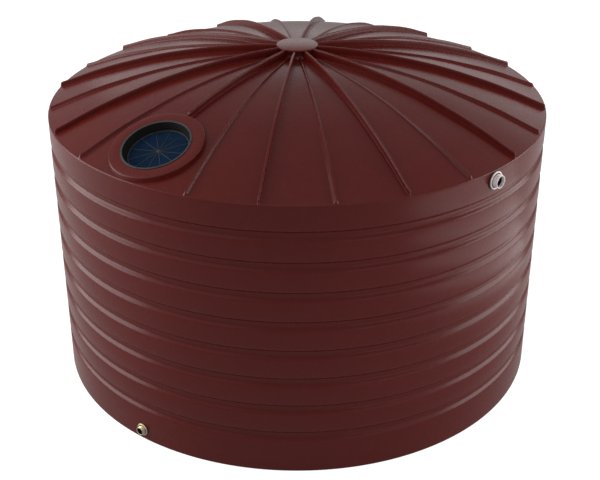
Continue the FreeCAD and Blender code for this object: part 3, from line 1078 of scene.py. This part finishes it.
class TANK_OT_overflow(TankOperator):
    """Models the overflow fitting and its rubber washer"""

    bl_idname = "tank.overflow"
    bl_label = "Overflow"

    def execute(self, context):
        fitting = context.scene.tank_overflow
        # Pale plastic whose pink tint is a painted reflection of the red wall.
        pale = speckled("pale_plastic", finishes().fitting, 0.28, 55.0, 0.0003)
        keep(fitting_piece(fitting, "overflow_body"), (pale, rubber()), "fitting_plastic",
             "overflow_fitting")
        washer_piece(fitting, "overflow_washer")
        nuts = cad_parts["fitting_nuts"]
        nuts.data.materials.clear()
        nuts.data.materials.append(pale)
        return {"FINISHED"}


class TANK_OT_outlet(TankOperator):
    """Models the outlet fitting and its rubber washer"""

    bl_idname = "tank.outlet"
    bl_label = "Outlet"

    def execute(self, context):
        fitting = context.scene.tank_outlet
        keep(fitting_piece(fitting, "outlet_body"), (pale_brass(), rubber()), "outlet_brass",
             "outlet_fitting")
        washer_piece(fitting, "outlet_washer")
        return {"FINISHED"}


class TANK_OT_stage(TankOperator):
    """Sets the floor, the lamps, the surroundings and the camera"""

    bl_idname = "tank.stage"
    bl_label = "Stage"

    def execute(self, context):
        scene = context.scene
        scene.view_settings.view_transform = "Standard"
        bm = bmesh.new()
        bmesh.ops.create_circle(bm, cap_ends=True, segments=96, radius=40.0)
        ground = as_object(bm, "ground")
        ground.data.materials.append(pale_ground())
        surroundings(scene)
        middle = (0.0, 0.0, 1.2)
        lamp("lamp_left_low", (-8.31, 0.0, 2.97), middle, 6.5, 4.2, 464.0)
        lamp("lamp_right_low", (8.31, 0.0, 2.97), middle, 6.5, 4.2, 427.0)
        lamp("lamp_left_high", (-6.51, 0.0, 6.66), middle, 5.2, 4.2, 177.0)
        lamp("lamp_right_board", (4.5, -1.5, 0.05), (4.5, -1.5, 1.0), 3.0, 4.4, 48.0)
        lamp("lamp_front_right", (5.5, -6.2, 2.97), middle, 6.5, 4.2, 58.0)
        lamp("lamp_front_left", (-4.6, -4.6, 6.66), middle, 5.2, 4.2, 26.0)
        lamp("lamp_back", (1.0, 8.2, 4.6), middle, 12.0, 3.6, 100.0)
        lamp("lamp_top", (0.0, -2.4, 9.4), middle, 5.0, 5.0, 70.0)
        camera(scene)
        return {"FINISHED"}


def pale_ground():
    """White for the camera, with the tank's shadow left on it, and grey for other rays."""
    material = bpy.data.materials.new("pale_ground")
    show(material, "ShaderNodeOutputMaterial", glowing, (0.4, 0.85), (0.3, 0.28))
    return material


def glowing(tree, grey, glow):
    """A matt grey that also glows."""
    matt = tree.nodes.new("ShaderNodeBsdfDiffuse")
    matt.inputs["Color"].default_value = (grey, grey, grey, 1)
    light = tree.nodes.new("ShaderNodeEmission")
    light.inputs["Strength"].default_value = glow
    both = tree.nodes.new("ShaderNodeAddShader")
    tree.links.new(matt.outputs["BSDF"], both.inputs[0])
    tree.links.new(light.outputs["Emission"], both.inputs[1])
    return both.outputs["Shader"]


def surroundings(scene):
    """White behind the tank, and a soft grey light from all round."""
    scene.world = bpy.data.worlds.new("studio")
    show(scene.world, "ShaderNodeOutputWorld", sky, (1.0,), (0.44,))


def sky(tree, strength):
    """An even white sky."""
    made = tree.nodes.new("ShaderNodeBackground")
    made.inputs["Color"].default_value = (1, 1, 1, 1)
    made.inputs["Strength"].default_value = strength
    return made.outputs["Background"]


def show(owner, output, make, to_camera, to_others):
    """Makes one shader for the camera and another for every other ray."""
    owner.use_nodes = True
    tree = owner.node_tree
    tree.nodes.clear()
    out = tree.nodes.new(output)
    mix = tree.nodes.new("ShaderNodeMixShader")
    rays = tree.nodes.new("ShaderNodeLightPath")
    tree.links.new(rays.outputs["Is Camera Ray"], mix.inputs["Fac"])
    tree.links.new(make(tree, *to_others), mix.inputs[1])
    tree.links.new(make(tree, *to_camera), mix.inputs[2])
    tree.links.new(mix.outputs["Shader"], out.inputs["Surface"])


def lamp(name, at, towards, wide, high, power):
    """A soft rectangular lamp at one point, turned towards another."""
    data = bpy.data.lights.new(name, "AREA")
    data.shape = "RECTANGLE"
    data.size = wide
    data.size_y = high
    data.energy = power
    made = bpy.data.objects.new(name, data)
    made.location = at
    made.rotation_euler = (Vector(towards) - Vector(at)).to_track_quat("-Z", "Y").to_euler()
    bpy.context.scene.collection.objects.link(made)


def camera(scene):
    """The photograph's view: 28 degrees above the horizon, 8.9 m from the tank."""
    data = bpy.data.cameras.new("camera")
    data.sensor_width = 36.0
    data.lens = 69.935
    made = bpy.data.objects.new("camera", data)
    scene.collection.objects.link(made)
    elevation = 0.48764
    away = 8.86204
    aim = Vector((0, 0, 0.79707))
    at = aim + away * Vector((0, -math.cos(elevation), math.sin(elevation)))
    tilt = Matrix.Rotation(math.pi / 2 - elevation, 4, "X")
    yaw = Matrix.Rotation(-0.0021485, 4, "Y")
    roll = Matrix.Rotation(-0.0012883, 4, "Z")
    made.matrix_world = Matrix.Translation(at) @ tilt @ yaw @ roll
    scene.camera = made


class TANK_PT_panel(bpy.types.Panel):
    """Sizes, colours and pieces of the tank"""

    bl_idname = "TANK_PT_panel"
    bl_label = "Rainwater tank"
    bl_space_type = "VIEW_3D"
    bl_region_type = "UI"
    bl_category = "Tank"

    def draw(self, context):
        layout = self.layout
        for operator in OPERATORS:
            layout.operator(operator.bl_idname)
        for title, name in GROUPS:
            box = layout.box()
            box.label(text=title)
            group = getattr(context.scene, name)
            for key in group.__annotations__:
                box.prop(group, key)


GROUPS = (("Tank", "tank_sizes"), ("Inlet", "tank_inlet"), ("Overflow", "tank_overflow"),
          ("Outlet", "tank_outlet"), ("Colours", "tank_finish"))
OPERATORS = (TANK_OT_floor, TANK_OT_wall, TANK_OT_roof, TANK_OT_hub, TANK_OT_collar,
             TANK_OT_strainer, TANK_OT_overflow, TANK_OT_outlet, TANK_OT_stage)
CLASSES = (TankSizes, InletSizes, FittingSizes, TankFinish, *OPERATORS, TANK_PT_panel)


def register():
    for cls in CLASSES:
        bpy.utils.register_class(cls)
    pointer = bpy.props.PointerProperty
    bpy.types.Scene.tank_sizes = pointer(type=TankSizes)
    bpy.types.Scene.tank_inlet = pointer(type=InletSizes)
    bpy.types.Scene.tank_overflow = pointer(type=FittingSizes)
    bpy.types.Scene.tank_outlet = pointer(type=FittingSizes)
    bpy.types.Scene.tank_finish = pointer(type=TankFinish)


def unregister():
    for _, name in GROUPS:
        delattr(bpy.types.Scene, name)
    for cls in reversed(CLASSES):
        bpy.utils.unregister_class(cls)


def set_outlet(scene):
    """The outlet is the smaller of the two fittings, low on the wall."""
    own = {"azimuth": math.radians(232.9), "height": 0.078, "flange": 0.044,
           "flange_thick": 0.008, "spigot": 0.0298, "spigot_long": 0.024, "bore": 0.025,
           "tail": 0.0298, "gasket": 0.046, "gasket_thick": 0.004, "nut_thick": 0.016,
           "lit_depth": 0.004}
    for key, value in own.items():
        setattr(scene.tank_outlet, key, value)


def main():
    register()
    set_outlet(bpy.context.scene)
    for operator in OPERATORS:
        group, name = operator.bl_idname.split(".")
        getattr(getattr(bpy.ops, group), name)()


if __name__ == "__main__":
    main()
